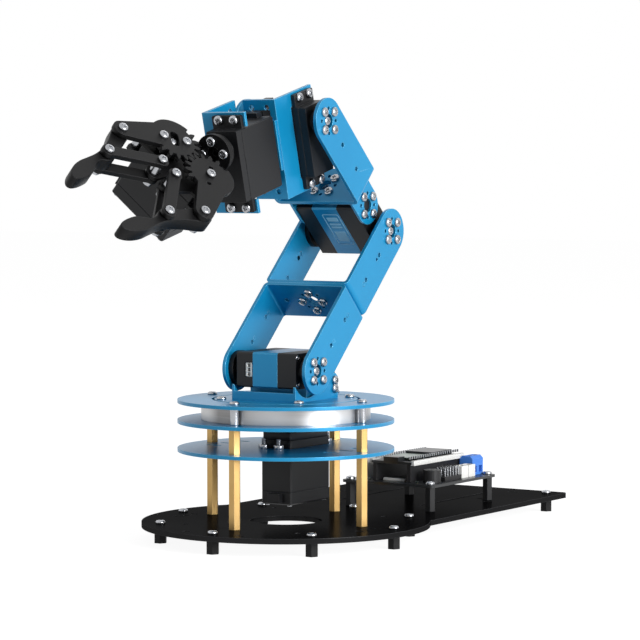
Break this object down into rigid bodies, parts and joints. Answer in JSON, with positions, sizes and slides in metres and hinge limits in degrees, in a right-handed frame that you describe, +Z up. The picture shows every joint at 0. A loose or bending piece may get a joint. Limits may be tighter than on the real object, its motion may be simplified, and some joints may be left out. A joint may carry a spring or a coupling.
{
  "type": "desktop robot arm",
  "caption": "Desktop robot arm on a ring-bearing turntable: bent blue brackets carry jointed servos down to a geared two-finger gripper; controller board on the rear deck.",
  "frame": {"origin": "on the swivel axis in the underside plane of the deck, which is the centre of the deck's four accessory holes", "axes": "+Z up along the swivel axis, -Y toward where the arm reaches at rest, +Y along the deck to the control board, +X across, along the pitch axes"},
  "size_m": [0.164, 0.3949, 0.2579],
  "materials": {
    "blue_anodised": "satin blue anodising on bent and cut sheet",
    "black_plastic": "fine-textured black moulding",
    "black_metal": "satin black",
    "bright_steel": "bright turned and pressed steel",
    "deck_black": "smooth semi-gloss black",
    "pillar_brass": "plain drawn brass",
    "board_lacquer": "black solder lacquer with white legend bars",
    "terminal_blue": "moulded blue",
    "connector_white": "moulded off-white",
    "connector_black": "moulded black"
  },
  "bodies": {
    "base": {"base_plate": "deck_black", "base_feet": "black_metal", "base_screws": "bright_steel", "brass_pillars": "pillar_brass", "ring_spacers": "bright_steel", "lower_disc": "blue_anodised", "middle_disc": "blue_anodised", "top_ring": "blue_anodised", "bearing_outer_race": "bright_steel", "base_servo": "black_plastic", "board_standoffs": "black_plastic", "control_board": "board_lacquer", "module_sockets": "connector_black", "controller_module": "board_lacquer", "power_terminal": "terminal_blue", "board_connectors": "connector_white", "servo_header": "connector_black", "buzzer": "connector_black"},
    "turntable": {"drive_hub": "bright_steel", "turntable_disc": "blue_anodised", "bearing_inner_race": "bright_steel", "turntable_screws": "bright_steel", "shoulder_cradle": "blue_anodised", "shoulder_packer": "blue_anodised", "shoulder_servo_left": "black_plastic", "shoulder_servo_middle": "blue_anodised", "shoulder_servo_right": "black_plastic"},
    "upper_arm": {"arm_horns": "black_metal", "lower_fork": "blue_anodised", "upper_fork": "blue_anodised", "link_bolts": "bright_steel", "arm_hub_screws": "bright_steel"},
    "forearm": {"elbow_servo_left": "black_plastic", "elbow_servo_middle": "blue_anodised", "elbow_servo_right": "black_plastic", "elbow_cage": "blue_anodised", "forearm_fork": "blue_anodised", "forearm_screws": "bright_steel", "wrist_horn": "black_metal", "wrist_hub_screws": "bright_steel"},
    "wrist": {"pitch_servo": "black_plastic", "wrist_idler": "bright_steel", "pitch_bracket": "blue_anodised", "roll_servo": "black_plastic", "roll_bracket": "blue_anodised", "wrist_screws": "bright_steel"},
    "palm": {"roll_horn": "black_metal", "palm_bracket": "black_metal", "gripper_servo": "black_plastic", "palm_screws": "bright_steel", "palm_pins": "bright_steel"},
    "driven_arm": {"driven_horn": "black_metal", "driven_gear_arm": "black_metal", "driven_arm_screws": "bright_steel"},
    "idle_arm": {"idle_gear_arm": "black_metal", "idle_arm_pin": "bright_steel"},
    "left_link": {"left_link": "black_metal"},
    "right_link": {"right_link": "black_metal"},
    "left_finger": {"left_finger": "black_plastic"},
    "right_finger": {"right_finger": "black_plastic"}
  },
  "joints": [
    {"name": "base_yaw", "type": "hinge", "parent": "base", "child": "turntable", "pos_m": [0, 0, 0.0723], "axis": [0, 0, 1], "range_deg": [-90, 90]},
    {"name": "shoulder_pitch", "type": "hinge", "parent": "turntable", "child": "upper_arm", "pos_m": [0, -0.00985, 0.0894], "axis": [1, 0, 0], "range_deg": [-40, 75]},
    {"name": "elbow_pitch", "type": "hinge", "parent": "upper_arm", "child": "forearm", "pos_m": [0, 0.06888, 0.16623], "axis": [-1, 0, 0], "range_deg": [-34, 90]},
    {"name": "wrist_pitch", "type": "hinge", "parent": "forearm", "child": "wrist", "pos_m": [0, 0.00159, 0.22897], "axis": [1, 0, 0], "range_deg": [-90, 45]},
    {"name": "wrist_roll", "type": "hinge", "parent": "wrist", "child": "palm", "pos_m": [0, -0.0687, 0.21079], "axis": [0, -0.9681, -0.2504], "range_deg": [-90, 90]},
    {"name": "claw", "type": "hinge", "parent": "palm", "child": "driven_arm", "pos_m": [-0.00984, -0.09827, 0.2133], "axis": [-0.7071, 0.177, -0.6846], "range_deg": [-29, 30]},
    {"name": "idle_gear", "type": "hinge", "parent": "palm", "child": "idle_arm", "pos_m": [0.00984, -0.09334, 0.19426], "axis": [-0.7071, 0.177, -0.6846], "range_deg": [-30, 29]},
    {"name": "left_link_pivot", "type": "hinge", "parent": "palm", "child": "left_link", "pos_m": [-0.00368, -0.11822, 0.20179], "axis": [-0.7071, 0.177, -0.6846], "range_deg": [-29, 30]},
    {"name": "right_link_pivot", "type": "hinge", "parent": "palm", "child": "right_link", "pos_m": [0.00368, -0.11638, 0.19466], "axis": [-0.7071, 0.177, -0.6846], "range_deg": [-30, 29]},
    {"name": "left_finger_pivot", "type": "hinge", "parent": "driven_arm", "child": "left_finger", "pos_m": [-0.02255, -0.12755, 0.21886], "axis": [-0.7071, 0.177, -0.6846], "range_deg": [-30, 29]},
    {"name": "right_finger_pivot", "type": "hinge", "parent": "idle_arm", "child": "right_finger", "pos_m": [0.02255, -0.11626, 0.1752], "axis": [-0.7071, 0.177, -0.6846], "range_deg": [-29, 30]}
  ],
  "couplings": [
    {"joint": "idle_gear", "follows": "claw", "ratio": -1},
    {"joint": "left_link_pivot", "follows": "claw", "ratio": 1},
    {"joint": "right_link_pivot", "follows": "claw", "ratio": -1},
    {"joint": "left_finger_pivot", "follows": "claw", "ratio": -1},
    {"joint": "right_finger_pivot", "follows": "claw", "ratio": 1}
  ]
}
